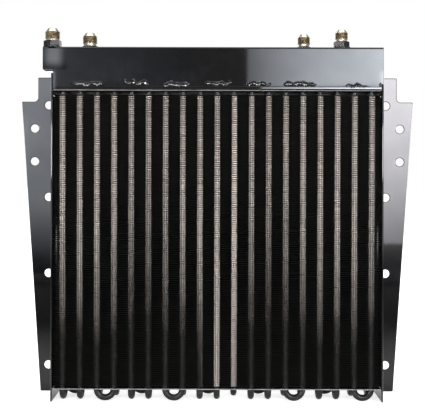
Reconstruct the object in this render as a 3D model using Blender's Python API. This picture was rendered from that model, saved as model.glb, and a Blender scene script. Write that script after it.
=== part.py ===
"""Hydraulic oil cooler: two separate oil circuits in one tube-and-fin core.

The core is a stack of plate fins threaded on three rows of hairpin tubes.  The tubes pass through
a flat sheet at the bottom and a flanged sheet at the top.  Above the top sheet, crossover bends
join the hairpins into four-pass circuits, and every circuit starts at a front manifold and ends
at a back manifold.  A folded cover hides the bends and the manifolds, and four flare fittings come
up through its top.  Two folded side plates with tapered bolting flanges hold the core.

Frame: +X to the right, +Y to the back, +Z up.  The origin is the middle of the underside, level
with the lowest points of the hairpin bends.
"""

import math

import bmesh
import bpy
from mathutils import Vector

MM = 0.001
GAP = 0.3 * MM  # left between pieces that touch

# Tube pattern
PITCH = 25.4 * MM  # between columns and between rows
COLUMNS = 19
ROWS = 3
TUBE_RADIUS = 9.525 * MM / 2
TUBE_WALL = 0.9 * MM
TUBE_SIDES = 8
BEND_RADIUS = PITCH / 2
BEND_STEPS = 4
BEND_BOTTOM = 0.0  # lowest point of the hairpin bends

# Fin stack
FIN_PITCH = 3.175 * MM
FIN_COUNT = 136
FIN_WIDTH = COLUMNS * PITCH
FIN_DEPTH = ROWS * PITCH

# Tube sheets
BOTTOM_SHEET = 1.6 * MM
BOTTOM_SHEET_Z = 18.9 * MM
BOTTOM_SHEET_DEPTH = 80.0 * MM
FIN_BOTTOM = BOTTOM_SHEET_Z + BOTTOM_SHEET + GAP
FIN_TOP = FIN_BOTTOM + FIN_COUNT * FIN_PITCH
TOP_SHEET = 1.6 * MM
TOP_SHEET_Z = FIN_TOP + 4.4 * MM
TOP_SHEET_FLANGE_TOP = 464.9 * MM
TOP_SHEET_HALF = 40.7 * MM  # half depth over its two flanges
HOLE_RADIUS = TUBE_RADIUS + 0.35 * MM

# Side plates
PLATE = 2.5 * MM
DEPTH = 82.0 * MM  # front edge of the webs to the back of the flanges
WEB_INNER = FIN_WIDTH / 2 + 0.7 * MM
PLATE_FOOT = 1.0 * MM
PLATE_TOP = 484.6 * MM
FLANGE_FOOT = 272.0 * MM  # half widths of the flange outline
FLANGE_SHOULDER = 301.6 * MM
FLANGE_NECK = 276.8 * MM
SHOULDER_Z = 447.4 * MM
NECK_FILLET = 6.0 * MM
PLATE_BEND = 4.0 * MM  # outside radius
BOLT_RADIUS = 6.35 * MM
INNER_BOLTS = [(259.8 * MM, z * MM) for z in (41.5, 183.0, 300.2, 441.8)]
OUTER_BOLTS = [(281.7 * MM, z * MM) for z in (355.2, 405.9)]

# Header cover
COVER = 2.0 * MM
COVER_BOTTOM = 461.5 * MM
COVER_TOP = 523.0 * MM
COVER_HALF = FIN_WIDTH / 2 + 0.4 * MM  # half width between the side plates
COVER_DEPTH = TOP_SHEET_HALF - TOP_SHEET - GAP  # half depth: it drops inside the sheet's flanges
COVER_BEND = 2.9 * MM
COVER_LEFT = -257.0 * MM  # it steps out over the left side plate
COVER_RIGHT = WEB_INNER + PLATE  # and sits on top of the right one
OVERHANG_BOTTOM = 489.4 * MM

# Manifolds
MANIFOLD_Z = 506.5 * MM
MANIFOLD_WALL = 1.2 * MM
LARGE_PIPE = 22.225 * MM / 2
SMALL_PIPE = 19.05 * MM / 2
PIPE_END = 14.0 * MM  # from the last tube to the outside of an end cap
PIPE_SIDES = 12
BLANK_TUBE = (11, 1)  # column and row of the tube line left out of the circuits
CROSSOVER_FOOT = 462.0 * MM  # hairpin legs that carry a crossover end here

# Flare fittings.  "reach" is the nose above the hexagon.
LARGE_FITTING = dict(spigot=8.0 * MM, bore=6.15 * MM, flats=23.8 * MM, hexagon=9.8 * MM,
                     thread=11.1 * MM, nose=7.3 * MM, reach=17.8 * MM)
SMALL_FITTING = dict(spigot=6.5 * MM, bore=4.95 * MM, flats=20.6 * MM, hexagon=9.4 * MM,
                     thread=9.525 * MM, nose=6.0 * MM, reach=16.9 * MM)
FITTING_SIDES = 12
FLARE_ANGLE = math.radians(37)
HEX_CHAMFER = 1.2 * MM
NECK_LENGTH = 2.0 * MM

ARC_STEPS = 3  # for the folds in sheet metal
BOLT_SIDES = 12


# --- materials -----------------------------------------------------------------------------------

def material(name, color, roughness, metallic):
    made = bpy.data.materials.get(name)
    if made is None:
        made = bpy.data.materials.new(name)
        made.use_nodes = True
        shader = made.node_tree.nodes["Principled BSDF"]
        shader.inputs["Base Color"].default_value = (*color, 1.0)
        shader.inputs["Roughness"].default_value = roughness
        shader.inputs["Metallic"].default_value = metallic
    return made


def black_enamel():
    return material("black_enamel", (0.02, 0.02, 0.022), 0.3, 0.0)


def fin_black():
    return material("fin_black", (0.015, 0.015, 0.015), 0.6, 0.2)


def tube_metal():
    return material("tube_metal", (0.45, 0.42, 0.40), 0.4, 0.8)


def yellow_zinc():
    return material("yellow_zinc", (0.60, 0.50, 0.28), 0.3, 0.9)


# --- shapes --------------------------------------------------------------------------------------

def new_mesh(name, bm):
    bmesh.ops.recalc_face_normals(bm, faces=bm.faces)
    mesh = bpy.data.meshes.new(name)
    bm.to_mesh(mesh)
    bm.free()
    return mesh


def place(name, mesh, finish=None, location=(0, 0, 0), smooth=False):
    """Links a mesh as a named object under the cooler's empty.  Without a finish it is a cutter."""
    obj = bpy.data.objects.new(name, mesh)
    obj.location = location
    bpy.context.scene.collection.objects.link(obj)
    if finish is None:
        obj.hide_render = True
        obj.display_type = "WIRE"
        return obj
    if not mesh.materials:
        mesh.materials.append(finish)
    obj.parent = bpy.data.objects["oil_cooler"]
    if smooth:
        mesh.shade_smooth()
        mesh.set_sharp_from_angle(angle=math.radians(40))
    return obj


def add_loft(bm, rings, closed_loop=False):
    """Bridges rings of equal length.  Ends are capped, unless the last ring meets the first."""
    loops = [[bm.verts.new(p) for p in ring] for ring in rings]
    pairs = list(zip(loops, loops[1:]))
    if closed_loop:
        pairs.append((loops[-1], loops[0]))
    for low, high in pairs:
        for i in range(len(low)):
            j = (i + 1) % len(low)
            bm.faces.new((low[i], low[j], high[j], high[i]))
    if not closed_loop:
        bm.faces.new(loops[0])
        bm.faces.new(loops[-1])


def add_box(bm, low, high):
    corners = [(low[0], low[1]), (high[0], low[1]), (high[0], high[1]), (low[0], high[1])]
    add_loft(bm, [[(x, y, z) for x, y in corners] for z in (low[2], high[2])])


def add_prism(bm, outline, axis, low, high):
    """Extrudes a 2-D outline along "x", "y" or "z".  The outline holds the other two axes in order."""
    def at(p, level):
        return {"x": (level, *p), "y": (p[0], level, p[1]), "z": (*p, level)}[axis]
    add_loft(bm, [[at(p, level) for p in outline] for level in (low, high)])


def circle(centre, radius, sides):
    turns = [2 * math.pi * i / sides for i in range(sides)]
    return [(centre[0] + radius * math.cos(t), centre[1] + radius * math.sin(t)) for t in turns]


def arc(centre, radius, start, end, steps=ARC_STEPS):
    """Points from angle start to end, in degrees, both included."""
    angles = [math.radians(start + (end - start) * i / steps) for i in range(steps + 1)]
    return [(centre[0] + radius * math.cos(a), centre[1] + radius * math.sin(a)) for a in angles]


def cut(obj, cutter):
    modifier = obj.modifiers.new(cutter.name, "BOOLEAN")
    modifier.operation = "DIFFERENCE"
    modifier.solver = "EXACT"
    modifier.object = cutter


def tube_x(column):
    return (column - (COLUMNS + 1) / 2) * PITCH


def tube_y(row):
    return (row - (ROWS + 1) / 2) * PITCH


# --- core ----------------------------------------------------------------------------------------

def make_tube_hole_cutter():
    """Prisms on every tube line, which punch the fins and both tube sheets alike."""
    bm = bmesh.new()
    for column in range(1, COLUMNS + 1):
        for row in range(1, ROWS + 1):
            outline = circle((tube_x(column), tube_y(row)), HOLE_RADIUS, TUBE_SIDES)
            add_prism(bm, outline, "z", -PITCH, COVER_TOP)
    return place("tube_hole_cutter", new_mesh("tube_hole_cutter", bm))


def make_fin_pack(holes):
    """All the plate fins as one drilled block, since their collars stack without a gap."""
    bm = bmesh.new()
    add_box(bm, (-FIN_WIDTH / 2, -FIN_DEPTH / 2, FIN_BOTTOM), (FIN_WIDTH / 2, FIN_DEPTH / 2, FIN_TOP))
    cut(place("fin_pack", new_mesh("fin_pack", bm), fin_black()), holes)


def make_bottom_tube_sheet(holes):
    bm = bmesh.new()
    half = BOTTOM_SHEET_DEPTH / 2
    add_box(bm, (-FIN_WIDTH / 2, -half, BOTTOM_SHEET_Z),
            (FIN_WIDTH / 2, half, BOTTOM_SHEET_Z + BOTTOM_SHEET))
    cut(place("bottom_tube_sheet", new_mesh("bottom_tube_sheet", bm), black_enamel()), holes)


def make_top_tube_sheet(holes):
    """A shallow channel: the drilled sheet with a flange turned up at the front and the back."""
    half = TOP_SHEET_HALF
    bend = TOP_SHEET + 1.4 * MM
    inner = bend - TOP_SHEET
    low = TOP_SHEET_Z + bend
    outline = [(-half, TOP_SHEET_FLANGE_TOP)]
    outline += arc((-half + bend, low), bend, 180, 270)
    outline += arc((half - bend, low), bend, 270, 360)
    outline += [(half, TOP_SHEET_FLANGE_TOP), (half - TOP_SHEET, TOP_SHEET_FLANGE_TOP)]
    outline += arc((half - bend, low), inner, 360, 270)
    outline += arc((-half + bend, low), inner, 270, 180)
    outline += [(-half + TOP_SHEET, TOP_SHEET_FLANGE_TOP)]
    bm = bmesh.new()
    add_prism(bm, outline, "x", -FIN_WIDTH / 2, FIN_WIDTH / 2)
    cut(place("top_tube_sheet", new_mesh("top_tube_sheet", bm), black_enamel()), holes)


# --- tubes ---------------------------------------------------------------------------------------

def bent_tube_mesh(name, direction, end_a, end_b, bend_z, side):
    """A hollow U of tube.  Leg A stands on the local Z axis and leg B one pitch away along direction.

    side is -1 where the bend hangs below the legs and +1 where it arches over them.
    """
    along = Vector((*direction, 0.0))
    across = Vector((-direction[1], direction[0], 0.0))
    middle = along * BEND_RADIUS + Vector((0, 0, bend_z))
    stations = [(Vector((0, 0, end_a)), -along)]
    for i in range(BEND_STEPS + 1):
        turn = math.pi * i / BEND_STEPS
        outward = -math.cos(turn) * along + side * math.sin(turn) * Vector((0, 0, 1))
        stations.append((middle + BEND_RADIUS * outward, outward))
    stations.append((along * PITCH + Vector((0, 0, end_b)), along))

    def rings(radius):
        spokes = circle((0, 0), radius, TUBE_SIDES)
        return [[centre + u * outward + v * across for u, v in spokes] for centre, outward in stations]

    bm = bmesh.new()
    add_loft(bm, rings(TUBE_RADIUS) + rings(TUBE_RADIUS - TUBE_WALL)[::-1], closed_loop=True)
    return new_mesh(name, bm)


def circuits():
    """Every four-pass circuit as its four tubes (column, row), front manifold to back manifold.

    Each circuit drops through one hairpin, crosses over at the top and drops through a second.
    Groups of four columns hold three circuits.  The left half ends on a short group of two.
    """
    found = []
    for first in (1, 5, 9, 12, 16):
        a, b, c, d = range(first, first + 4)
        group = [[(a, 1), (a, 2), (a, 3), (b, 3)],
                 [(b, 1), (b, 2), (c, 2), (c, 3)],
                 [(c, 1), (d, 1), (d, 2), (d, 3)]]
        found += group[:2] if first == 9 else group
    return found


def pipe_radius(column):
    """The left half of the core feeds the large manifolds, the right half the small ones."""
    return LARGE_PIPE if column < 12 else SMALL_PIPE


def manifold_entry(column):
    """Height at which a tube ends inside its manifold, just past the wall of the pipe."""
    bore = pipe_radius(column) - MANIFOLD_WALL
    return MANIFOLD_Z - math.sqrt(bore ** 2 - TUBE_RADIUS ** 2) + 0.5 * MM


def make_blank_tube():
    """The one tube line that no circuit uses still gets a straight tube, to tie the sheets."""
    outline = circle((0, 0), TUBE_RADIUS, TUBE_SIDES)
    bore = circle((0, 0), TUBE_RADIUS - TUBE_WALL, TUBE_SIDES)
    low = BOTTOM_SHEET_Z - 2 * MM
    levels = [(outline, low), (outline, CROSSOVER_FOOT), (bore, CROSSOVER_FOOT), (bore, low)]
    bm = bmesh.new()
    add_loft(bm, [[(x, y, z) for x, y in ring] for ring, z in levels], closed_loop=True)
    column, row = BLANK_TUBE
    place("blank_tube", new_mesh("blank_tube", bm), tube_metal(), (tube_x(column), tube_y(row), 0),
          smooth=True)


def make_tubes():
    meshes = {}

    def bent(kind, number, start, end, end_a, end_b, bend_z, side):
        x, y = tube_x(start[0]), tube_y(start[1])
        direction = (end[0] - start[0], end[1] - start[1])
        key = (kind, direction, end_a, end_b)
        if key not in meshes:
            meshes[key] = bent_tube_mesh(kind, direction, end_a, end_b, bend_z, side)
        place(f"{kind}_{number:02d}", meshes[key], tube_metal(), (x, y, 0), smooth=True)

    hairpin_z = BEND_BOTTOM + BEND_RADIUS + TUBE_RADIUS
    foot = CROSSOVER_FOOT + GAP
    for i, (start, down, up, end) in enumerate(circuits()):
        top = manifold_entry(start[0])
        bent("hairpin_tube", 2 * i + 1, start, down, top, CROSSOVER_FOOT, hairpin_z, -1)
        bent("hairpin_tube", 2 * i + 2, up, end, CROSSOVER_FOOT, top, hairpin_z, -1)
        bent("crossover_bend", i + 1, down, up, foot, foot, foot + 0.5 * MM, 1)


# --- manifolds and fittings ----------------------------------------------------------------------

PORTS = {  # manifold name: row, x of its fitting, fitting, degrees its hexagon is turned
    "left_front": (1, -244.4 * MM, LARGE_FITTING, -5),
    "left_back": (3, -195.1 * MM, LARGE_FITTING, 12),
    "right_back": (3, 132.1 * MM, SMALL_FITTING, 24),
    "right_front": (1, 183.8 * MM, SMALL_FITTING, 10),
}


def manifold_columns(name):
    side, row = name.split("_")
    ends = [circuit[0] if row == "front" else circuit[-1] for circuit in circuits()]
    return [column for column, _ in ends if (column < 12) == (side == "left")]


def manifold_span(name):
    """Outside faces of the two end caps.  Two pipes stop short at an end of the cover."""
    columns = manifold_columns(name)
    low = tube_x(columns[0]) - PIPE_END
    high = tube_x(columns[-1]) + PIPE_END
    low = min(low, PORTS[name][1] - PIPE_END)
    return max(low, COVER_LEFT + COVER + GAP), min(high, COVER_RIGHT - COVER - GAP)


def make_manifold(name):
    row, port_x, fitting, _ = PORTS[name]
    columns = manifold_columns(name)
    radius = pipe_radius(columns[0])
    y = tube_y(row)
    low, high = manifold_span(name)
    bm = bmesh.new()
    add_prism(bm, circle((y, MANIFOLD_Z), radius, PIPE_SIDES), "x", low, high)
    pipe = place(f"{name}_manifold", new_mesh(f"{name}_manifold", bm), tube_metal(), smooth=True)

    bm = bmesh.new()
    hollow = circle((y, MANIFOLD_Z), radius - MANIFOLD_WALL, PIPE_SIDES)
    add_prism(bm, hollow, "x", low + MANIFOLD_WALL, high - MANIFOLD_WALL)
    cut(pipe, place(f"{name}_hollow", new_mesh(f"{name}_hollow", bm)))

    bm = bmesh.new()
    for column in columns:
        stub = circle((tube_x(column), y), HOLE_RADIUS, TUBE_SIDES)
        add_prism(bm, stub, "z", MANIFOLD_Z - 2 * radius, MANIFOLD_Z - radius / 4)
    socket = circle((port_x, y), fitting["spigot"] + GAP, FITTING_SIDES)
    add_prism(bm, socket, "z", MANIFOLD_Z + radius / 4, MANIFOLD_Z + 2 * radius)
    cut(pipe, place(f"{name}_ports", new_mesh(f"{name}_ports", bm)))


def hexagon_ring(flats, radius, sides):
    """A hexagon across its flats, clipped to a circle, on the given number of spokes."""
    ring = []
    for i in range(sides):
        turn = 2 * math.pi * i / sides
        from_flat = (turn + math.pi / 6) % (math.pi / 3) - math.pi / 6
        reach = min(flats / 2 / math.cos(from_flat), radius)
        ring.append((reach * math.cos(turn), reach * math.sin(turn)))
    return ring


def make_fitting(name):
    """A male flare fitting: spigot, hexagon, threaded barrel and 37 degree cone, bored through."""
    row, x, size, turned = PORTS[name]
    bottom_of_hex = COVER_TOP + 0.4 * MM
    top_of_hex = bottom_of_hex + size["hexagon"]
    nose_z = top_of_hex + size["reach"]
    thread = size["thread"]
    neck = thread - 1.3 * MM
    cone_foot = thread - 1.0 * MM
    cone_z = nose_z - (cone_foot - size["nose"]) / math.tan(FLARE_ANGLE)
    pipe_bore = (LARGE_PIPE if size is LARGE_FITTING else SMALL_PIPE) - MANIFOLD_WALL
    spigot_z = MANIFOLD_Z + math.sqrt(pipe_bore ** 2 - size["spigot"] ** 2) - 0.5 * MM

    def round_ring(radius):
        return circle((0, 0), radius, FITTING_SIDES)

    full = size["flats"]
    corners = hexagon_ring(size["flats"], full, FITTING_SIDES)
    clipped = hexagon_ring(size["flats"], size["flats"] / 2, FITTING_SIDES)
    levels = [
        (round_ring(size["spigot"]), spigot_z),
        (round_ring(size["spigot"]), bottom_of_hex),
        (corners, bottom_of_hex),
        (corners, top_of_hex - HEX_CHAMFER),
        (clipped, top_of_hex),
        (round_ring(neck), top_of_hex),
        (round_ring(neck), top_of_hex + NECK_LENGTH - (thread - neck)),
        (round_ring(thread), top_of_hex + NECK_LENGTH),
        (round_ring(thread), cone_z - (thread - cone_foot)),
        (round_ring(cone_foot), cone_z),
        (round_ring(size["nose"]), nose_z),
        (round_ring(size["bore"]), nose_z),
        (round_ring(size["bore"]), spigot_z),
    ]
    bm = bmesh.new()
    add_loft(bm, [[(u, v, z) for u, v in ring] for ring, z in levels], closed_loop=True)
    mesh = new_mesh(f"{name}_fitting", bm)
    fitting = place(f"{name}_fitting", mesh, yellow_zinc(), (x, tube_y(row), 0), smooth=True)
    fitting.rotation_euler.z = math.radians(turned)


# --- sheet metal ---------------------------------------------------------------------------------

def make_header_cover():
    """One folded sheet: front, top and back.  Both ends are notched round the side plates."""
    half = COVER_DEPTH
    high = COVER_TOP - COVER_BEND
    inner = COVER_BEND - COVER
    outline = [(-half, COVER_BOTTOM)]
    outline += arc((-half + COVER_BEND, high), COVER_BEND, 180, 90)
    outline += arc((half - COVER_BEND, high), COVER_BEND, 90, 0)
    outline += [(half, COVER_BOTTOM), (half - COVER, COVER_BOTTOM)]
    outline += arc((half - COVER_BEND, high), inner, 0, 90)
    outline += arc((-half + COVER_BEND, high), inner, 90, 180)
    outline += [(-half + COVER, COVER_BOTTOM)]
    bm = bmesh.new()
    add_prism(bm, outline, "x", COVER_LEFT, COVER_RIGHT)
    cover = place("header_cover", new_mesh("header_cover", bm), black_enamel())

    margin = 5 * MM
    bm = bmesh.new()
    add_box(bm, (COVER_LEFT - margin, -DEPTH, COVER_BOTTOM - margin),
            (-COVER_HALF, DEPTH, OVERHANG_BOTTOM))
    add_box(bm, (COVER_HALF, -DEPTH, COVER_BOTTOM - margin),
            (COVER_RIGHT + margin, DEPTH, PLATE_TOP + GAP))
    cut(cover, place("cover_notches", new_mesh("cover_notches", bm)))

    bm = bmesh.new()
    for row, x, size, _ in PORTS.values():
        hole = circle((x, tube_y(row)), size["spigot"] + 0.6 * MM, FITTING_SIDES)
        add_prism(bm, hole, "z", COVER_TOP - margin, COVER_TOP + margin)
    cut(cover, place("cover_port_holes", new_mesh("cover_port_holes", bm)))


def make_cover_ends():
    """The plates that close the cover.  The left one is folded round the overhang."""
    foot = TOP_SHEET_FLANGE_TOP + 1.5 * MM
    top = COVER_TOP - COVER - GAP
    half = COVER_DEPTH - COVER - GAP
    shelf = OVERHANG_BOTTOM + COVER
    outline = [(-COVER_HALF, foot), (-COVER_HALF, OVERHANG_BOTTOM), (COVER_LEFT, OVERHANG_BOTTOM),
               (COVER_LEFT, top), (COVER_LEFT + COVER, top), (COVER_LEFT + COVER, shelf),
               (-COVER_HALF + COVER, shelf), (-COVER_HALF + COVER, foot)]
    bm = bmesh.new()
    add_prism(bm, outline, "y", -half, half)
    place("left_cover_end", new_mesh("left_cover_end", bm), black_enamel())

    bm = bmesh.new()
    add_box(bm, (COVER_RIGHT - COVER, -half, PLATE_TOP + GAP), (COVER_RIGHT, half, top))
    place("right_cover_end", new_mesh("right_cover_end", bm), black_enamel())


def make_side_plate(name, side):
    """A folded plate: a web beside the core and a tapered flange, bent outwards at its back edge.

    side is -1 on the left and +1 on the right.
    """
    web_outer = WEB_INNER + PLATE
    back = DEPTH / 2
    front_of_flange = back - PLATE
    inner = PLATE_BEND - PLATE
    wide = FLANGE_SHOULDER + 10 * MM
    bend_centre = (WEB_INNER + PLATE_BEND, back - PLATE_BEND)
    section = [(WEB_INNER, -back)]
    section += arc(bend_centre, PLATE_BEND, 180, 90)
    section += [(wide, back), (wide, front_of_flange)]
    section += arc(bend_centre, inner, 90, 180)
    section += [(web_outer, -back)]
    bm = bmesh.new()
    add_prism(bm, [(side * x, y) for x, y in section], "z", PLATE_FOOT, PLATE_TOP)
    plate = place(name, new_mesh(name, bm), black_enamel())

    corner = (FLANGE_NECK + NECK_FILLET, SHOULDER_Z + NECK_FILLET)
    outside = [(FLANGE_NECK, PLATE_TOP + PITCH)]
    outside += arc(corner, NECK_FILLET, 180, 270)
    outside += [(FLANGE_SHOULDER, SHOULDER_Z), (FLANGE_FOOT, PLATE_FOOT)]
    outside += [(FLANGE_FOOT, -PITCH), (2 * wide, -PITCH), (2 * wide, PLATE_TOP + PITCH)]
    bm = bmesh.new()
    add_prism(bm, [(side * x, z) for x, z in outside], "y", 0, DEPTH)
    cut(plate, place(f"{name}_outline", new_mesh(f"{name}_outline", bm)))

    bm = bmesh.new()
    for x, z in INNER_BOLTS + OUTER_BOLTS:
        add_prism(bm, circle((side * x, z), BOLT_RADIUS, BOLT_SIDES), "y", 0, DEPTH)
    cut(plate, place(f"{name}_bolt_holes", new_mesh(f"{name}_bolt_holes", bm)))


# --- assembly ------------------------------------------------------------------------------------

def main():
    for obj in list(bpy.data.objects):
        bpy.data.objects.remove(obj, do_unlink=True)
    cooler = bpy.data.objects.new("oil_cooler", None)
    bpy.context.scene.collection.objects.link(cooler)

    holes = make_tube_hole_cutter()
    make_fin_pack(holes)
    make_bottom_tube_sheet(holes)
    make_top_tube_sheet(holes)
    make_tubes()
    make_blank_tube()
    for name in PORTS:
        make_manifold(name)
        make_fitting(name)
    make_header_cover()
    make_cover_ends()
    make_side_plate("left_side_plate", -1)
    make_side_plate("right_side_plate", 1)


main()
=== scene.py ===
"""Looks of the hydraulic oil cooler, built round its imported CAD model.

Frame: +X to the right, +Y to the back, +Z up, in metres.  Places come from the boxes of the CAD nodes.
"""

import math

import bmesh
import bpy
import numpy as np
from mathutils import Matrix, Vector, noise


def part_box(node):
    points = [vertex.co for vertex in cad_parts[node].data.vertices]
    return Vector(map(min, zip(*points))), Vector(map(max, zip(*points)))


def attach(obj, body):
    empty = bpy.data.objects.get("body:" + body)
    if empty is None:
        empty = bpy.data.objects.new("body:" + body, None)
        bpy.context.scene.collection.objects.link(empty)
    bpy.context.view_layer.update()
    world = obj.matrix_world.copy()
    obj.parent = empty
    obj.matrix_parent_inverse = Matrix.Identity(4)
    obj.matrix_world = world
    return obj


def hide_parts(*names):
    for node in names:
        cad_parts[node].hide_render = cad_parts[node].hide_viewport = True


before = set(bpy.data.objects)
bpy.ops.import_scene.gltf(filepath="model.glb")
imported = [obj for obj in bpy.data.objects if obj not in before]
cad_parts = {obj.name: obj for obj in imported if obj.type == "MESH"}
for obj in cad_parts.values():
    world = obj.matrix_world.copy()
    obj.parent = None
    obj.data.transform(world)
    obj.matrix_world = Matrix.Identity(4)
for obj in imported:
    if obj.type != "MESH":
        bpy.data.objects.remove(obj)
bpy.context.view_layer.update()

MM = 0.001
PITCH = 25.4 * MM
COLUMNS = 19
ROWS = 3
MIDDLE_ROW = 2
FIN_PITCH = 3.175 * MM
FIN_SHEET = 0.28 * MM
FIN_FOLD = 1.5 * MM  # height of the folds across the fins
TUBE_RADIUS = 9.525 * MM / 2
TUBE_WALL = 0.9 * MM
COVER_FOOT = 468.5 * MM  # where the cover's right end laps over the side plate
FAR = 0.1  # far enough for a cutter to reach right through the cooler


# --- materials -----------------------------------------------------------------------------------

class Nodes:
    """Short calls for building a node material."""

    def __init__(self, name, **values):
        self.material = bpy.data.materials.new(name)
        self.material.use_nodes = True
        self.tree = self.material.node_tree
        self.shader = self.tree.nodes["Principled BSDF"]
        for key, value in values.items():
            self.shader.inputs[key.replace("_", " ")].default_value = value
        self.place = self.add("ShaderNodeTexCoord").outputs["Object"]

    def add(self, kind, **settings):
        node = self.tree.nodes.new(kind)
        for key, value in settings.items():
            setattr(node, key, value)
        return node

    def link(self, source, target):
        self.tree.links.new(source, target)

    def noise(self, scale, detail=3.0, roughness=0.5, stretch=(1, 1, 1), distortion=0.0):
        mapping = self.add("ShaderNodeMapping")
        mapping.inputs["Scale"].default_value = stretch
        self.link(self.place, mapping.inputs["Vector"])
        node = self.add("ShaderNodeTexNoise")
        node.inputs["Scale"].default_value = scale
        node.inputs["Detail"].default_value = detail
        node.inputs["Roughness"].default_value = roughness
        node.inputs["Distortion"].default_value = distortion
        self.link(mapping.outputs["Vector"], node.inputs["Vector"])
        return node.outputs["Fac"]

    def spread(self, value, low, high, to_low=0.0, to_high=1.0, smooth=False):
        node = self.add("ShaderNodeMapRange")
        node.interpolation_type = "SMOOTHSTEP" if smooth else "LINEAR"
        limits = {"From Min": low, "From Max": high, "To Min": to_low, "To Max": to_high}
        for key, number in limits.items():
            node.inputs[key].default_value = number
        self.link(value, node.inputs["Value"])
        return node.outputs["Result"]

    def math(self, operation, a, b=0.0):
        node = self.add("ShaderNodeMath", operation=operation)
        for socket, value in zip(node.inputs, (a, b)):
            if isinstance(value, (int, float)):
                socket.default_value = value
            else:
                self.link(value, socket)
        return node.outputs["Value"]

    def axis(self, letter):
        node = self.add("ShaderNodeSeparateXYZ")
        self.link(self.place, node.inputs["Vector"])
        return node.outputs[letter]

    def mix(self, factor, a, b):
        node = self.add("ShaderNodeMix", data_type="RGBA")
        self.link(factor, node.inputs["Factor"])
        for socket, value in ((node.inputs["A"], a), (node.inputs["B"], b)):
            if isinstance(value, tuple):
                socket.default_value = (*value, 1.0)
            else:
                self.link(value, socket)
        return node.outputs["Result"]

    def color(self, value):
        self.link(value, self.shader.inputs["Base Color"])

    def rough(self, value):
        self.link(value, self.shader.inputs["Roughness"])

    def bump(self, height, distance, strength=1.0):
        node = self.add("ShaderNodeBump")
        node.inputs["Distance"].default_value = distance
        node.inputs["Strength"].default_value = strength
        self.link(height, node.inputs["Height"])
        self.link(node.outputs["Normal"], self.shader.inputs["Normal"])


def black_enamel(name="gloss_black_enamel", dull=0.0, painted_highlight_z=None):
    """Gloss black over folded sheet: orange peel, a faint ripple of the sheet, dust and specks.

    dull adds to the roughness.  The last argument is the height of a fold along which a thin lighter grey
    line is painted in streaks: a painted highlight where the bend catches the light.
    """
    m = Nodes(name, IOR=1.5)
    dust = m.spread(m.noise(14, 5, 0.65), 0.46, 0.72, smooth=True)
    speck = m.spread(m.noise(420, 2, 0.5), 0.62, 0.72)
    grime = m.math("MAXIMUM", m.math("MULTIPLY", dust, 0.35), m.math("MULTIPLY", speck, 0.25))
    paint = m.mix(grime, (0.003, 0.003, 0.0035), (0.018, 0.019, 0.022))
    # painted highlight: a thin lighter grey line along the fold, where the bend catches the light
    if painted_highlight_z:
        line = m.math("ABSOLUTE", m.math("SUBTRACT", m.axis("Z"), painted_highlight_z))
        worn = m.spread(line, 0.2 * MM, 0.7 * MM, 1.0, 0.0)
        streak = m.spread(m.noise(60, 3, 0.6), 0.3, 0.6, 0.5, 1.0)
        paint = m.mix(m.math("MULTIPLY", worn, streak), paint, (0.26, 0.26, 0.27))
    m.color(paint)
    m.rough(m.spread(m.noise(9, 4, 0.6), 0.35, 0.75, 0.03 + dull, 0.065 + dull))
    peel = m.noise(650, 2, 0.5)
    ripple = m.noise(11, 2, 0.4)
    height = m.math("ADD", m.math("MULTIPLY", peel, 0.005), m.math("MULTIPLY", ripple, 0.05))
    m.bump(height, 0.0012, 0.35)
    return m.material


def fin_paint():
    """Thin dull black paint on the fins and on the underside of the top sheet, worn in places."""
    m = Nodes("fin_black_paint", Specular_IOR_Level=0.10)
    worn = m.spread(m.noise(60, 4, 0.7, stretch=(1, 1, 4)), 0.5, 0.8, smooth=True)
    m.color(m.mix(worn, (0.002, 0.002, 0.0018), (0.012, 0.011, 0.009)))
    m.rough(m.spread(m.noise(30, 3), 0.3, 0.7, 0.5, 0.75))
    return m.material


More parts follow.
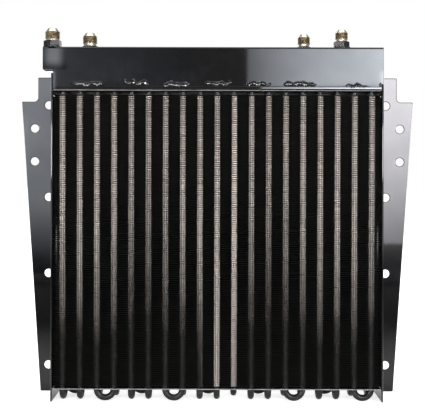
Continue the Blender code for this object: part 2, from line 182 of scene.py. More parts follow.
def bare_columns(name, dark, light):
    """Bare aluminium in a narrow band on the axis of each tube column, under black overspray and painted
    shade.

    Overspray lies in random patches.  Painted shade darkens beside the band, where the fins shade the
    collars, low down, and on the topmost fin under the top sheet.  It comes and goes from column to
    column, and the columns in the middle get the least of it, a painted highlight.
    """
    m = Nodes(name, Specular_IOR_Level=0.2)
    band, band_end = 2.6 * MM, 4.6 * MM  # half widths: bare to the first, darkened in full by painted shade from the second
    period, start, middle_x = 7.3 * PITCH, 0.010, 0.006
    columns = m.math("ADD", m.math("DIVIDE", m.axis("X"), PITCH), 0.5)
    from_axis = m.math("ABSOLUTE", m.math("SUBTRACT", m.math("FRACT", columns), 0.5))
    # painted shade beside the band, where the fins shade the sides of the collars
    flank_shade = m.spread(from_axis, band / PITCH, band_end / PITCH, smooth=True)
    # painted shade, heavier towards the bottom of the core
    low = m.spread(m.axis("Z"), 0.06, 0.43, 0.98, 0.02, smooth=True)
    turn = m.math("MULTIPLY", m.math("ADD", m.axis("X"), start), 2 * math.pi / period)
    wave = m.spread(m.math("COSINE", turn), -1.0, 1.0, 0.6, 1.8)
    off_middle = m.math("ABSOLUTE", m.math("SUBTRACT", m.axis("X"), middle_x))
    # less black in the middle columns: a painted highlight
    middle = m.spread(off_middle, 0.012, 0.034, 0.42, 1.0, smooth=True)
    patch = m.spread(m.noise(38, 4, 0.6, stretch=(1, 1, 0.5)), 0.3, 0.75, 0.0, 0.12)
    mist_and_shade = m.math("ADD", m.math("MULTIPLY", m.math("POWER", low, wave), middle), patch)
    # painted shade on the topmost fin, under the top sheet
    top_sheet_shade = m.spread(m.axis("Z"), 0.4500, 0.4515, 0.0, 0.9)
    mist_and_shade = m.math("MINIMUM", m.math("MAXIMUM", m.math("MAXIMUM", mist_and_shade, top_sheet_shade), flank_shade), 1.0)
    bare = m.mix(m.spread(m.noise(900, 2, 0.5), 0.35, 0.65), dark, light)
    # the near-black stands for overspray and painted shade together
    m.color(m.mix(mist_and_shade, bare, (0.008, 0.008, 0.007)))
    m.rough(m.spread(m.noise(300, 2), 0.3, 0.7, 0.5, 0.65))
    return m.material


def tube_paint():
    """Black paint on the steel bends, scuffed to a brown-grey in patches."""
    m = Nodes("tube_black_paint", Specular_IOR_Level=0.3)
    scuff = m.spread(m.noise(120, 5, 0.7), 0.55, 0.75, smooth=True)
    m.color(m.mix(scuff, (0.010, 0.010, 0.010), (0.055, 0.050, 0.046)))
    m.rough(m.spread(m.noise(70, 3), 0.3, 0.7, 0.24, 0.42))
    m.bump(m.noise(500, 3, 0.6), 0.0004, 0.35)
    return m.material


def bare_steel():
    """Drawn steel of the tubes and pipes inside the cover."""
    m = Nodes("bare_steel", Metallic=0.9)
    heat = m.spread(m.noise(45, 4, 0.6), 0.4, 0.7, smooth=True)
    m.color(m.mix(heat, (0.46, 0.43, 0.40), (0.20, 0.16, 0.13)))
    m.rough(m.spread(m.noise(300, 2, 0.5, stretch=(1, 1, 0.1)), 0.3, 0.7, 0.28, 0.48))
    return m.material


def zinc_plate(hex_high, thread_low, thread_high):
    """Yellow zinc plating, browner in the thread, painted over up to the top of the hexagon."""
    m = Nodes("yellow_zinc_plate")
    blotch = m.spread(m.noise(150, 4, 0.6), 0.35, 0.68, smooth=True)
    pale = m.mix(blotch, (0.54, 0.51, 0.43), (0.40, 0.37, 0.29))
    brown = m.mix(blotch, (0.34, 0.28, 0.19), (0.19, 0.14, 0.09))
    above = m.spread(m.axis("Z"), thread_high - 0.0003, thread_high + 0.0004)
    below = m.spread(m.axis("Z"), thread_low - 0.0003, thread_low + 0.0003, 1.0, 0.0)
    plating = m.mix(m.math("MAXIMUM", above, below), brown, pale)
    ragged = m.math("ADD", m.axis("Z"), m.spread(m.noise(170, 3, 0.6), 0.3, 0.7, -0.0009, 0.0009))
    painted = m.spread(ragged, hex_high - 0.0004, hex_high + 0.0004, 1.0, 0.0)
    m.color(m.mix(painted, plating, (0.010, 0.010, 0.011)))
    m.link(m.math("MULTIPLY", m.math("SUBTRACT", 1.0, painted), 0.8), m.shader.inputs["Metallic"])
    m.rough(m.spread(m.noise(260, 3), 0.3, 0.7, 0.24, 0.42))
    m.bump(m.noise(900, 3, 0.6), 0.0002, 0.25)
    return m.material


# --- mesh helpers --------------------------------------------------------------------------------

def finish_piece(name, mesh, replaces, smooth):
    """A mesh piece that rides on the cooler's one body.

    Edges sharper than smooth degrees stay sharp.  None keeps the normals that the mesh came with.
    """
    if smooth is not None:
        mesh.validate()
        mesh.update()
        mesh.shade_smooth()
        mesh.set_sharp_from_angle(angle=math.radians(smooth))
    obj = bpy.data.objects.new(name, mesh)
    bpy.context.scene.collection.objects.link(obj)
    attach(obj, "root")
    if replaces:
        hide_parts(*replaces)
    return obj


def loft(rings, loop=False):
    """A closed bmesh: a skin over rings of equal length, which are joined end to end or capped."""
    n = len(rings[0])
    verts = [p for ring in rings for p in ring]
    faces = []
    for r in range(len(rings) if loop else len(rings) - 1):
        a, b = r * n, (r + 1) % len(rings) * n
        faces += [(a + i, a + (i + 1) % n, b + (i + 1) % n, b + i) for i in range(n)]
    if not loop:
        faces.append(tuple(range(n))[::-1])
        faces.append(tuple(range(len(verts) - n, len(verts))))
    bm = bmesh.new()
    made = [bm.verts.new(v) for v in verts]
    for face in faces:
        bm.faces.new([made[i] for i in face])
    bmesh.ops.recalc_face_normals(bm, faces=bm.faces)
    return bm


def mesh_of(bm):
    mesh = bpy.data.meshes.new("shape")
    bm.to_mesh(mesh)
    bm.free()
    return mesh


def ring(centre, radius, sides, z):
    turns = [2 * math.pi * i / sides for i in range(sides)]
    return [(centre[0] + radius * math.cos(t), centre[1] + radius * math.sin(t), z) for t in turns]


def tube_x(column):
    return (column - (COLUMNS + 1) / 2) * PITCH


def tube_y(row):
    return (row - (ROWS + 1) / 2) * PITCH


# --- fins ----------------------------------------------------------------------------------------

COLLAR_SIDES = 8
FIN_BANKS = 4
HOLE = 4.85 * MM  # radius of the tube holes in the fins
COLLAR = 5.05 * MM  # outside radius of a collar, where it meets the next fin
COLLAR_GAP = 0.05 * MM
PAINTED, COLLAR_METAL, EDGE = range(3)  # material indices


def fin_template():
    """One fin at z = 0 as arrays: vertices, quads and the material index of each quad.

    The plate is a grid of half pitches whose odd points are tube centres.  It is folded up and down
    between the rows, so that nothing shows through the core.  The holes of the front and back rows
    carry collars that reach up to the next fin.  The plate round them and the front and back edges of
    the fin are barer than the rest, and they and the collars carry painted shade and a painted highlight.
    """
    columns, rows = 2 * COLUMNS + 1, 2 * ROWS + 1
    left, front = tube_x(1) - PITCH / 2, tube_y(1) - PITCH / 2
    verts, index = [], {}
    for level, z in ((0, 0.0), (1, FIN_SHEET)):
        for k in range(columns):
            for m in range(rows):
                if k % 2 and m % 2:
                    continue
                index[level, k, m] = len(verts)
                y = front + m * PITCH / 2
                verts.append((left + k * PITCH / 2, y, z + FIN_FOLD * math.sin(math.pi * y / PITCH)))
    quads, kinds = [], []

    def add(quad, kind=PAINTED):
        quads.append(quad)
        kinds.append(kind)

    around = [(1, 0), (1, 1), (0, 1), (-1, 1), (-1, 0), (-1, -1), (0, -1), (1, -1)]
    top = FIN_PITCH - COLLAR_GAP
    for column in range(1, COLUMNS + 1):
        for row in range(1, ROWS + 1):
            centre = (tube_x(column), tube_y(row))
            k, m = 2 * column - 1, 2 * row - 1
            levels, plate, wall = [(HOLE, 0.0), (HOLE, FIN_SHEET)], PAINTED, PAINTED
            if row != MIDDLE_ROW:
                levels = [(HOLE, 0.0), (HOLE, top), (COLLAR, top),
                          (5.1 * MM, 0.9 * MM), (5.7 * MM, FIN_SHEET)]
                plate, wall = EDGE, COLLAR_METAL
            starts = []
            for radius, z in levels:
                starts.append(len(verts))
                verts.extend(ring(centre, radius, COLLAR_SIDES, z))
            for i in range(COLLAR_SIDES):
                j = (i + 1) % COLLAR_SIDES
                (ka, ma), (kb, mb) = around[i], around[j]
                low = [index[0, k + ka, m + ma], index[0, k + kb, m + mb]]
                high = [index[1, k + ka, m + ma], index[1, k + kb, m + mb]]
                add((low[0], starts[0] + i, starts[0] + j, low[1]), plate)
                add((high[0], high[1], starts[-1] + j, starts[-1] + i), plate)
                for a, b in zip(starts, starts[1:]):
                    add((a + i, b + i, b + j, a + j), wall)
    for k in range(columns - 1):
        for m, flip in ((0, False), (rows - 1, True)):
            quad = (index[0, k, m], index[0, k + 1, m], index[1, k + 1, m], index[1, k, m])
            add(quad[::-1] if flip else quad, EDGE)
    for m in range(rows - 1):
        for k, flip in ((0, True), (columns - 1, False)):
            quad = (index[0, k, m], index[0, k, m + 1], index[1, k, m + 1], index[1, k, m])
            add(quad[::-1] if flip else quad)
    return np.array(verts), np.array(quads), np.array(kinds)


def make_fins(materials):
    """All the fins, in a few pieces.  Their front and back edges are a little bent, each its own way."""
    bent = 0.20 * MM
    low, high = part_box("fin_pack")
    count = round((high.z - low.z) / FIN_PITCH)
    verts, quads, kinds = fin_template()
    rng = np.random.default_rng(11)
    edge = np.clip((np.abs(verts[:, 1]) - 1.25 * PITCH) / (PITCH / 4), 0, 1)
    step = np.round((verts[:, 0] - low.x) / (PITCH / 2)).astype(int).clip(0, 2 * COLUMNS)
    per_bank = math.ceil(count / FIN_BANKS)
    for bank in range(FIN_BANKS):
        fins = range(bank * per_bank, min(count, (bank + 1) * per_bank))
        all_verts, all_quads, all_kinds = [], [], []
        for number, fin in enumerate(fins):
            wave = rng.normal(0, 1, 2 * COLUMNS + 5)
            wave = np.convolve(wave, (0.25, 0.5, 0.25, 0.1, 0.1), "valid")
            side = np.sign(verts[:, 1])
            lift = bent * np.clip(wave[step], -1.6, 1.6) * edge * np.where(side < 0, 1, -0.8)
            moved = verts + np.array((0, 0, low.z + FIN_FOLD + fin * FIN_PITCH))
            moved[:, 2] += lift
            all_verts.append(moved)
            all_quads.append(quads + number * len(verts))
            all_kinds.append(kinds)
        mesh = bpy.data.meshes.new(f"fin_bank_{bank + 1}")
        v, q = np.concatenate(all_verts), np.concatenate(all_quads)
        mesh.vertices.add(len(v))
        mesh.vertices.foreach_set("co", v.astype(np.float32).ravel())
        mesh.loops.add(q.size)
        mesh.loops.foreach_set("vertex_index", q.astype(np.int32).ravel())
        mesh.polygons.add(len(q))
        mesh.polygons.foreach_set("loop_start", np.arange(0, q.size, 4, dtype=np.int32))
        for material in materials:
            mesh.materials.append(material)
        mesh.update(calc_edges=True)
        mesh.polygons.foreach_set("material_index", np.concatenate(all_kinds).astype(np.int32))
        finish_piece(f"fin_bank_{bank + 1}", mesh, ("fin_pack",), 50)


# --- tubes ---------------------------------------------------------------------------------------

def make_hairpins(material):
    """Round hairpin tubes where the CAD model has faceted ones."""
    sides, steps = 20, 14
    bend = PITCH / 2
    for node in sorted(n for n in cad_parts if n.startswith("hairpin_tube_")):
        low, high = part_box(node)
        along_x = high.x - low.x > high.y - low.y
        along = Vector((1, 0, 0)) if along_x else Vector((0, 1, 0))
        middle = Vector(((low.x + high.x) / 2, (low.y + high.y) / 2, low.z + bend + TUBE_RADIUS))
        ends = leg_tops(node, along)
        stations = [(middle - along * bend + Vector((0, 0, ends[0] - middle.z)), -along)]
        for i in range(steps + 1):
            turn = math.pi * i / steps
            out = -math.cos(turn) * along - math.sin(turn) * Vector((0, 0, 1))
            stations.append((middle + bend * out, out))
        stations.append((middle + along * bend + Vector((0, 0, ends[1] - middle.z)), along))
        across = Vector((-along.y, along.x, 0))
        rings = []
        for radius, order in ((TUBE_RADIUS, 1), (TUBE_RADIUS - TUBE_WALL, -1)):
            for centre, out in stations[::order]:
                rings.append([centre + radius * (math.cos(t) * out + math.sin(t) * across)
                              for t in (2 * math.pi * i / sides for i in range(sides))])
        mesh = mesh_of(loft(rings, loop=True))
        mesh.materials.append(material)
        finish_piece(node.replace("tube", "bend"), mesh, (node,), 60)


def leg_tops(node, along):
    """Height of the top of each leg of a CAD hairpin, first leg first."""
    middle = sum(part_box(node), Vector()) / 2
    tops = [0.0, 0.0]
    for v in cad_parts[node].data.vertices:
        leg = int((v.co - middle).dot(along) > 0)
        tops[leg] = max(tops[leg], v.co.z)
    return tops


# --- sheet metal ---------------------------------------------------------------------------------

def arc(centre, radius, start, end, steps=10):
    angles = [math.radians(start + (end - start) * i / steps) for i in range(steps + 1)]
    return [(centre[0] + radius * math.cos(a), centre[1] + radius * math.sin(a)) for a in angles]


def prism(outline, axis, low, high):
    """A closed bmesh: a 2-D outline extruded along "x", "y" or "z"."""
    def at(p, level):
        return {"x": (level, *p), "y": (p[0], level, p[1]), "z": (*p, level)}[axis]
    return loft([[at(p, level) for p in outline] for level in (low, high)])


def join_bm(parts):
    """One mesh holding several separate closed shapes."""
    bm = bmesh.new()
    for part in parts:
        mesh = mesh_of(part)
        bm.from_mesh(mesh)
        bpy.data.meshes.remove(mesh)
    return bm


def folded_sheet(name, node, bm, cutters, material, edge, underside=None):
    """A sheet in place of a CAD node, with shapes cut out of it and its edges broken.

    edge is the width of the broken edges.  underside is a material for faces that look down.
    """
    obj = bpy.data.objects.new(name, mesh_of(bm))
    obj.data.shade_smooth()
    bpy.context.scene.collection.objects.link(obj)
    helpers = []
    for number, cutter in enumerate(cutters):
        helper = bpy.data.objects.new(f"{name}_cutter_{number}", mesh_of(cutter))
        bpy.context.scene.collection.objects.link(helper)
        helpers.append(helper)
        modifier = obj.modifiers.new("cut", "BOOLEAN")
        modifier.operation = "DIFFERENCE"
        modifier.solver = "EXACT"
        modifier.object = helper
    bevel = obj.modifiers.new("edge", "BEVEL")
    bevel.width = edge
    bevel.segments = 2
    bevel.limit_method = "ANGLE"
    bevel.angle_limit = math.radians(40)
    bevel.use_clamp_overlap = False
    normals = obj.modifiers.new("normals", "WEIGHTED_NORMAL")
    normals.mode = "FACE_AREA"
    normals.weight = 100
    graph = bpy.context.evaluated_depsgraph_get()
    mesh = bpy.data.meshes.new_from_object(obj.evaluated_get(graph))
    for finished in (obj, *helpers):
        bpy.data.objects.remove(finished)
    mesh.materials.clear()
    mesh.materials.append(material)
    if underside:
        mesh.materials.append(underside)
        down = np.array([polygon.normal.z < -0.99 for polygon in mesh.polygons])
        mesh.polygons.foreach_set("material_index", down.astype(np.int32))
    finish_piece(name, mesh, (node,), None)


def circle2(centre, radius, sides=48):
    return [p[:2] for p in ring(centre, radius, sides, 0)]


def make_side_plate(side, material):
    """A web beside the core and a flange bent outwards, which tapers to its foot and to its neck.

    side is -1 for the left one and 1 for the right one.
    """
    node = "right_side_plate" if side > 0 else "left_side_plate"
    low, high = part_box(node)
    plate, fold, fillet, tip = 2.5 * MM, 4.0 * MM, 6.0 * MM, 1.5 * MM
    bolt_radius = 6.35 * MM
    inner = min(abs(low.x), abs(high.x))
    shoulder = max(abs(low.x), abs(high.x))
    foot, neck, shoulder_z = 272.0 * MM, 276.8 * MM, 447.4 * MM
    front, back, top = low.y, high.y, high.z
    centre = (inner + fold, back - fold)
    wide = shoulder + 10 * MM
    section = [(inner, front)] + arc(centre, fold, 180, 90) + [(wide, back), (wide, back - plate)]
    section += arc(centre, fold - plate, 90, 180) + [(inner + plate, front)]
    body = prism([(side * x, y) for x, y in section], "z", low.z, top)
    outside = [(neck, top + PITCH)] + arc((neck + fillet, shoulder_z + fillet), fillet, 180, 270)
    outside += arc((shoulder - tip, shoulder_z - tip), tip, 90, 4, 5)
    outside += [(foot, low.z), (foot, -PITCH), (2 * wide, -PITCH), (2 * wide, top + PITCH)]
    cutters = [prism([(side * x, z) for x, z in outside], "y", 0, 2 * back)]
    bolts = [(259.8, z) for z in (41.5, 183.0, 300.2, 441.8)] + [(281.7, 355.2), (281.7, 405.9)]
    cutters.append(join_bm([prism(circle2((side * x * MM, z * MM), bolt_radius), "y", 0, 2 * back)
                            for x, z in bolts]))
    if side > 0:  # room for the cover's right end
        foot_z, skin = COVER_FOOT - 0.3 * MM, 2.3 * MM
        corners = [(inner - PITCH, foot_z), (inner + PITCH, foot_z), (inner + PITCH, 1), (inner - PITCH, 1)]
        cutters.append(prism(corners, "y", -FAR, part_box("header_cover")[0].y + skin))
    folded_sheet(f"{node}_folded", node, body, cutters, material, 1.0 * MM)


def make_cover(material, ports):
    """Front, top and back in one folded sheet, notched round the side plates and drilled for the ports."""
    low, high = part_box("header_cover")
    plates_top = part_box("right_side_plate")[1].z
    thick, fold = 2.0 * MM, 2.9 * MM
    half, top = high.y, high.z
    z = top - fold
    outline = [(-half, low.z)] + arc((-half + fold, z), fold, 180, 90) + arc((half - fold, z), fold, 90, 0)
    outline += [(half, low.z), (half - thick, low.z)] + arc((half - fold, z), fold - thick, 0, 90)
    outline += arc((-half + fold, z), fold - thick, 90, 180) + [(-half + thick, low.z)]
    body = prism(outline, "x", low.x, high.x)
    inside, margin, overhang_foot = 241.7 * MM, 5 * MM, 489.4 * MM
    left, right, below = low.x - margin, high.x + margin, low.z - margin
    cuts = [(left, -inside, overhang_foot, -FAR, FAR),
            (inside, right, COVER_FOOT, -FAR, -MM),
            (inside, right, plates_top + 0.3 * MM, MM, FAR)]
    notches = join_bm([prism([(a, below), (b, below), (b, foot), (a, foot)], "y", near, far)
                       for a, b, foot, near, far in cuts])
    holes = join_bm([prism(circle2((x, y), radius + 0.6 * MM), "z", top - margin, top + margin)
                     for x, y, radius in ports])
    folded_sheet("header_cover_folded", "header_cover", body, [notches, holes], material, 0.45 * MM)


def tube_holes(radius, sides, bottom, top):
    """A cutter for the holes that every tube needs."""
    return join_bm([prism(circle2((tube_x(c), tube_y(r)), radius, sides), "z", bottom, top)
                    for c in range(1, COLUMNS + 1) for r in range(1, ROWS + 1)])


def make_top_sheet(material):
    """The upper tube sheet, with a flange turned up at the front and the back that leans out a little."""
    low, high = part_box("top_tube_sheet")
    thick, bend, lean = 1.6 * MM, 4.3 * MM, 0.08 * MM
    half, top, z = high.y, high.z, low.z + bend
    foot = half - lean - bend
    outline = [(-half, top)] + arc((-foot, z), bend, 180, 270)
    outline += arc((foot, z), bend, 270, 360) + [(half, top), (half - thick, top)]
    outline += arc((foot, z), bend - thick, 360, 270)
    outline += arc((-foot, z), bend - thick, 270, 180) + [(-half + thick, top)]
    body = prism(outline, "x", low.x, high.x)
    holes = tube_holes(TUBE_RADIUS + 0.1 * MM, 20, low.z - bend, z)
    folded_sheet("top_tube_sheet_folded", "top_tube_sheet", body, [holes], material, 0.3 * MM, fin_paint())


def enamel_with_painted_edge_highlight(depth):
    """The enamel of a sheet whose long edges, beyond this half depth, are painted a lighter grey in
    streaks: a painted highlight where the edges catch the light.
    """
    m = Nodes("black_enamel_painted_edge_highlight")
    # painted highlight: lighter grey along the long front and back edges
    edge_highlight = m.spread(m.math("ABSOLUTE", m.axis("Y")), depth, depth + 0.3 * MM)
    streak = m.spread(m.noise(70, 3, 0.6), 0.25, 0.6, 0.3, 1.0)
    m.color(m.mix(m.math("MULTIPLY", edge_highlight, streak), (0.008, 0.008, 0.009), (0.21, 0.21, 0.22)))
    m.rough(m.spread(m.noise(20, 3), 0.3, 0.7, 0.15, 0.3))
    return m.material


def make_bottom_sheet():
    low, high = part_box("bottom_tube_sheet")
    corners = [(low.x, low.y), (high.x, low.y), (high.x, high.y), (low.x, high.y)]
    body = prism(corners, "z", low.z, high.z)
    holes = tube_holes(TUBE_RADIUS + 0.15 * MM, 24, low.z - PITCH, high.z + PITCH)
    # the drilled sheet's long edges get a painted highlight, a lighter grey
    folded_sheet("bottom_tube_sheet_drilled", "bottom_tube_sheet", body, [holes],
                 enamel_with_painted_edge_highlight(high.y - 0.8 * MM), 0.3 * MM)


# --- welds ---------------------------------------------------------------------------------------

def bead(name, path, width, height, normal, up, material, seed):
    """A lumpy weld bead along a path.  It stands height proud along normal and is width across up.

    Both directions depend on the share of the path travelled.  The ripples lie over one another like
    scales, and the edges wander.
    """
    sides, ripple = 16, 3.6 * MM
    rings = []
    travelled = 0.0
    for i, point in enumerate(path):
        if i:
            travelled += (Vector(path[i]) - Vector(path[i - 1])).length
        share = i / (len(path) - 1)
        end = min(1.0, 7 * share + 0.05, 7 * (1 - share) + 0.05) ** 0.5
        girth = 0.92 + 0.55 * noise.noise(Vector((travelled * 140, seed, 0)))
        shift = 0.34 * noise.noise(Vector((travelled * 110, seed + 7, 3)))
        n, u = Vector(normal(share)), Vector(up(share))
        centre = Vector(point) + u * width * shift
        circle = []
        for k in range(sides):
            t = 2 * math.pi * k / sides
            scale = (travelled / ripple + 0.45 * math.cos(t) ** 2 + seed) % 1.0
            lump = noise.noise(Vector((travelled * 420, 2.2 * math.cos(t), 2.2 * math.sin(t) + seed)))
            proud = 0.60 + 0.34 * scale + 0.30 * lump
            out = max(-0.2, math.sin(t)) * height * end * max(0.3, proud) * 1.25
            across = width / 2 * math.cos(t) * end * girth * (1 + 0.22 * lump)
            circle.append(centre + n * min(out, height) + u * across)
        rings.append(circle)
    mesh = mesh_of(loft(rings))
    mesh.materials.append(material)
    finish_piece(name, mesh, (), 75)


def seam_beads(material):
    """Stitch welds along the joint of the cover and the top sheet's flanges, front and back."""
    cover_half = abs(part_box("header_cover")[0].y)
    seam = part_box("top_tube_sheet")[1].z
    # where each one starts and ends and how far above the flange it runs, in millimetres
    stretches = [(-216, -167, 2.9), (-140, -100, 4.8), (-80, -40, 2.2), (-20, 22, 4.0), (42, 79, 3.8),
                 (97, 146, 3.6), (188, 222, 0.4), (237.6, 241.2, 0.5)]
    for number, (start, end, rise) in enumerate(stretches):
        for side, word in ((-1, "front"), (1, "back")):
            moves = side > 0 and number < len(stretches) - 1
            shift = 7.0 * math.sin(number * 2.1) if moves else 0
            steps = max(8, int((end - start) / 0.5))
            path = [((start + shift + (end - start) * i / steps) * MM, side * cover_half,
                     seam + (rise + 0.8 * math.sin(i * 0.22 + number)) * MM) for i in range(steps + 1)]
            bead(f"seam_weld_{word}_{number + 1}", path, 8.6 * MM, 2.15 * MM,
                 lambda s, d=side: (0, d, 0), lambda s: (0, 0, 1), material, number * 1.7 + side)


def port_welds(material, ports):
    """A fillet of weld round the foot of each fitting."""
    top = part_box("header_cover")[1].z
    turn, steps = 2 * math.pi * 1.02, 110  # a little more than once round
    for number, (x, y, radius) in enumerate(ports):
        def out(share, start=number):
            t = turn * share + start
            return (math.cos(t), math.sin(t), 0)
        r = radius + 3.4 * MM
        path = [(x + r * math.cos(t), y + r * math.sin(t), top)
                for t in (turn * i / steps + number for i in range(steps + 1))]
        bead(f"port_weld_{number + 1}", path, 5.5 * MM, 2.6 * MM, lambda s: (0, 0, 1), out, material, number)


# --- fittings ------------------------------------------------------------------------------------

def make_fitting(node, size, turned, hexagon, neck_height):
    """A flare fitting: spigot, chamfered hexagon, neck, real thread, 37 degree cone and bore.

    It is turned by some degrees round its axis.  The result is its axis and the radius of its spigot.
    """
    low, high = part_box(node)
    x, y = (low.x + high.x) / 2, (low.y + high.y) / 2
    hex_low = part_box("header_cover")[1].z + 0.4 * MM
    hex_high = hex_low + hexagon
    nose_z, nose, bore = high.z, size["nose"], size["bore"]
    sides = 72
    thread, cone_foot = size["thread"], size["thread"] - 1.0 * MM
    neck = thread - 1.35 * MM
    cone_z = nose_z - (cone_foot - nose) / math.tan(math.radians(37))
    thread_low, thread_high = hex_high + neck_height, cone_z - 0.8 * MM
    angles = [2 * math.pi * i / sides for i in range(sides)]

    def around(radius, z):
        return [(radius * math.cos(t), radius * math.sin(t), z) for t in angles]

    def six_sided(z, limit):
        """A hexagon clipped to a circle."""
        found = []
        for t in angles:
            from_flat = (t + math.pi / 6) % (math.pi / 3) - math.pi / 6
            r = min(half / math.cos(from_flat), limit)
            found.append((r * math.cos(t), r * math.sin(t), z))
        return found

    half = size["flats"] / 2
    corner = half / math.cos(math.pi / 6)
    face = half * 0.985
    rings = [around(size["spigot"], low.z), around(size["spigot"], hex_low)]
    chamfer, steps = 1.1 * MM, 6
    for i in range(steps + 1):
        rings.append(six_sided(hex_low + chamfer * i / steps, face + (corner - face) * i / steps))
    for i in range(steps, -1, -1):
        rings.append(six_sided(hex_high - chamfer * i / steps, face + (corner - face) * i / steps))
    rings += [around(neck + 1.0 * MM, hex_high), around(neck + 0.3 * MM, hex_high + 0.35 * MM),
              around(neck, hex_high + 0.7 * MM), around(neck, thread_low - 0.5 * MM)]
    lead = size["lead"]
    levels = int((thread_high - thread_low) / lead * 8)
    for i in range(levels + 1):
        z = thread_low + (thread_high - thread_low) * i / levels
        fade = min(1.0, 6 * i / levels, 6 * (1 - i / levels))
        level = []
        for t in angles:
            phase = (z / lead - t / (2 * math.pi)) % 1.0
            crest = min(1.0, max(0.0, 1.25 * abs(2 * phase - 1) - 0.12))
            r = thread - 0.95 * MM * (1 - crest) * (0.25 + 0.75 * fade)
            level.append((r * math.cos(t), r * math.sin(t), z))
        rings.append(level)
    rings += [around(cone_foot + 0.2 * MM, cone_z - 0.4 * MM), around(cone_foot, cone_z),
              around(nose + 0.50 * MM, nose_z - 0.70 * MM), around(nose + 0.28 * MM, nose_z - 0.20 * MM),
              around(nose, nose_z), around(bore + 0.3 * MM, nose_z), around(bore, nose_z - 0.3 * MM),
              around(bore, low.z)]
    mesh = mesh_of(loft(rings, loop=True))
    mesh.transform(Matrix.Translation((x, y, 0)) @ Matrix.Rotation(math.radians(turned), 4, "Z"))
    mesh.materials.append(zinc_plate(hex_high, thread_low, thread_high))
    finish_piece(f"{node}_threaded", mesh, (node,), 28)
    return x, y, size["spigot"]


# --- studio --------------------------------------------------------------------------------------

def seen_by_camera(tree, camera_shader, other_shader, target):
    """The first shader for camera rays and the second for all light that falls on the cooler."""
    path = tree.nodes.new("ShaderNodeLightPath")
    mix = tree.nodes.new("ShaderNodeMixShader")
    tree.links.new(path.outputs["Is Camera Ray"], mix.inputs["Fac"])
    tree.links.new(other_shader, mix.inputs[1])
    tree.links.new(camera_shader, mix.inputs[2])
    tree.links.new(mix.outputs[0], target)


def make_floor():
    """A pale floor that brightens into white away from the cooler.

    What the cooler gets from it is darker further to the front and back, and bright again far away.
    """
    size = 30.0
    mesh = bpy.data.meshes.new("studio_floor")
    mesh.from_pydata([(-size, -size, 0), (size, -size, 0), (size, size, 0), (-size, size, 0)], [],
                     [(0, 1, 2, 3)])
    floor = bpy.data.objects.new("studio_floor", mesh)
    bpy.context.scene.collection.objects.link(floor)
    m = Nodes("studio_floor_white", Roughness=0.9, Specular_IOR_Level=0.0)
    m.color(m.mix(m.spread(m.noise(3, 2), 0.3, 0.7), (0.80, 0.80, 0.80), (0.83, 0.83, 0.83)))
    length = m.add("ShaderNodeVectorMath", operation="LENGTH")
    m.link(m.place, length.inputs[0])
    glow = m.spread(length.outputs["Value"], 0.30, 1.6, 0.75, 1.0, smooth=True)
    m.shader.inputs["Emission Color"].default_value = (1, 1, 1, 1)
    m.link(glow, m.shader.inputs["Emission Strength"])
    plain, lit = m.add("ShaderNodeBsdfDiffuse"), m.add("ShaderNodeEmission")
    both = m.add("ShaderNodeAddShader")
    away = m.spread(m.math("ABSOLUTE", m.axis("Y")), 0.10, 0.75, smooth=True)
    m.link(m.mix(away, (0.80, 0.80, 0.80), (0.10, 0.10, 0.10)), plain.inputs["Color"])
    far_glow = m.spread(length.outputs["Value"], 2.0, 4.0, smooth=True)
    near_glow = m.spread(away, 0.0, 1.0, 0.35, 0.0)
    m.link(m.math("ADD", far_glow, near_glow), lit.inputs["Strength"])
    m.link(plain.outputs[0], both.inputs[0])
    m.link(lit.outputs[0], both.inputs[1])
    seen_by_camera(m.tree, m.shader.outputs[0], both.outputs[0],
                   m.tree.nodes["Material Output"].inputs["Surface"])
    mesh.materials.append(m.material)


def make_world():
    """White where the camera looks past the floor, dim for the light that it adds."""
    world = bpy.data.worlds.new("studio_world")
    bpy.context.scene.world = world
    world.use_nodes = True
    tree = world.node_tree
    dim, white = tree.nodes["Background"], tree.nodes.new("ShaderNodeBackground")
    for background, level in ((dim, 0.24), (white, 1.0)):
        background.inputs["Color"].default_value = (1, 1, 1, 1)
        background.inputs["Strength"].default_value = level
    seen_by_camera(tree, white.outputs[0], dim.outputs[0], tree.nodes["World Output"].inputs["Surface"])


def softbox(name, x, z, levels, fade=(0, 0), color=(1, 1, 1), y=-1.60, foot=1.0):
    """A glowing card that fills a rectangle of the plane y and that the camera doesn't see.

    Its radiance runs from levels[0] at the left to levels[1] at the right, a little unevenly, and is
    foot times as much at the bottom.  It fades in over the given widths at its sides and its bottom.
    """
    mesh = bpy.data.meshes.new(name)
    corners = [(x[0], y, z[0]), (x[1], y, z[0]), (x[1], y, z[1]), (x[0], y, z[1])]
    mesh.from_pydata(corners, [], [(0, 1, 2, 3)])
    obj = bpy.data.objects.new(name, mesh)
    bpy.context.scene.collection.objects.link(obj)
    m = Nodes(name + "_glow")
    glow = m.add("ShaderNodeEmission")
    glow.inputs["Color"].default_value = (*color, 1)
    strength = m.spread(m.axis("X"), x[0], x[1], *levels)
    strength = m.math("MULTIPLY", strength, m.spread(m.noise(9, 4, 0.6), 0.3, 0.7, 0.90, 1.10))
    if foot != 1.0:
        strength = m.math("MULTIPLY", strength, m.spread(m.axis("Z"), *z, foot, 1.0))
    sides, low = fade
    for letter, start, end in (("X", x[0], x[0] + sides), ("X", x[1], x[1] - sides),
                               ("Z", z[0], z[0] + low)):
        if start != end:
            strength = m.math("MULTIPLY", strength, m.spread(m.axis(letter), start, end, smooth=True))
    m.link(strength, glow.inputs["Strength"])
    m.link(glow.outputs[0], m.tree.nodes["Material Output"].inputs["Surface"])
    mesh.materials.append(m.material)
    obj.visible_camera = False
    obj.visible_shadow = False
    return obj


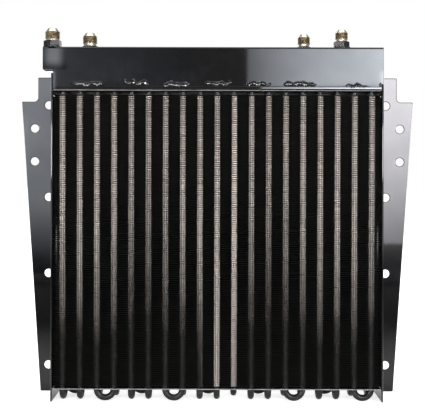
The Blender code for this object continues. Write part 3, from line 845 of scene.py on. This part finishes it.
def make_lights():
    """Soft light from the front, the back and above.

    Most of the cards in front are what one panel of the cooler mirrors.
    """
    warm, cool, lilac = (1.0, 0.97, 0.95), (0.87, 0.92, 1.0), (0.97, 0.95, 1.0)
    softbox("softbox_front_left", (-1.10, -0.64), (0.33, 0.50), (72, 72), color=warm)
    softbox("softbox_front_right", (0.64, 1.10), (0.33, 0.50), (72, 72), color=warm)
    softbox("softbox_left", (-0.635, -0.484), (0.03, 0.645), (5.6, 5.2), (0, 0.26), cool, foot=0.55)
    softbox("softbox_smudge", (-0.525, -0.450), (0.650, 0.76), (5.0, 5.0), (0.03, 0.03), cool, -1.598)
    softbox("softbox_cover_left", (-0.484, -0.10), (0.6006, 0.80), (0.80, 0.24), color=cool)
    softbox("softbox_cover", (0.088, 0.52), (0.6000, 0.80), (3.0, 16.5), color=cool)
    softbox("softbox_strip", (0.13, 0.484), (0.500, 0.570), (7.0, 33.0), color=cool)
    softbox("softbox_right", (0.484, 0.635), (0.125, 0.645), (22.5, 21.0), (0, 0), lilac, -1.598, 0.24)
    softbox("softbox_glint", (-0.72, -0.56), (0.68, 0.80), (20.0, 20.0))
    softbox("softbox_far_right", (1.0, 1.35), (0.55, 0.95), (6.0, 6.0), color=cool)
    softbox("softbox_back", (-1.4, 1.4), (0.25, 2.0), (3.2, 1.4), y=2.2)
    ceiling = softbox("softbox_ceiling", (-1.2, 1.2), (-0.25, 0.25), (6.0, 6.0), y=0.0)
    ceiling.location = (0, -0.35, 1.9)
    ceiling.rotation_euler.x = math.radians(90)


def make_camera():
    """A camera in front of the cooler that looks straight to the back, a little rolled."""
    data = bpy.data.cameras.new("photo_camera")
    data.sensor_width = 36.0
    data.lens = 88.2
    data.shift_x = -0.0121
    data.shift_y = -0.0780
    data.clip_end = 100
    camera = bpy.data.objects.new("photo_camera", data)
    camera.location = (0.0007, -1.569, 0.3319)
    camera.rotation_euler = (math.radians(90), math.radians(-0.15), 0)
    bpy.context.scene.collection.objects.link(camera)
    bpy.context.scene.camera = camera


# --- assembly ------------------------------------------------------------------------------------

LARGE = dict(spigot=8.0 * MM, bore=6.15 * MM, flats=23.8 * MM, thread=11.1 * MM,
             nose=6.8 * MM, lead=25.4 / 14 * MM)
SMALL = dict(spigot=6.5 * MM, bore=4.95 * MM, flats=20.6 * MM, thread=9.525 * MM,
             nose=5.6 * MM, lead=25.4 / 16 * MM)

enamel = black_enamel()
weld = black_enamel("weld_black_enamel", 0.02)
tube = tube_paint()
steel = bare_steel()
# the collars and fin edges carry painted shade and a painted highlight, made in bare_columns
make_fins([fin_paint(), bare_columns("collar_metal", (0.74, 0.66, 0.61), (0.90, 0.81, 0.75)),
           bare_columns("fin_edge_paint", (0.30, 0.27, 0.25), (0.42, 0.38, 0.35))])
make_hairpins(tube)
ports = [make_fitting("left_front_fitting", LARGE, -5, 9.8 * MM, 2.4 * MM),
         make_fitting("left_back_fitting", LARGE, 12, 7.8 * MM, 4.0 * MM),
         make_fitting("right_back_fitting", SMALL, 24, 7.4 * MM, 4.0 * MM),
         make_fitting("right_front_fitting", SMALL, 13, 9.4 * MM, 3.2 * MM)]
make_cover(enamel, ports)
# the top sheet's fold gets a painted highlight, a thin lighter grey line
make_top_sheet(black_enamel("fold_black_enamel_painted_highlight", 0.0, 459.0 * MM))
make_bottom_sheet()
make_side_plate(-1, enamel)
make_side_plate(1, enamel)
seam_beads(weld)
port_welds(weld, ports)
finishes = {"blank_tube": tube, "left_cover_end": enamel, "right_cover_end": enamel}
for name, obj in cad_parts.items():
    if not obj.hide_render:
        obj.data.materials.clear()
        obj.data.materials.append(finishes.get(name, steel))

make_floor()
make_world()
make_lights()
make_camera()
bpy.context.scene.view_settings.view_transform = "Standard"
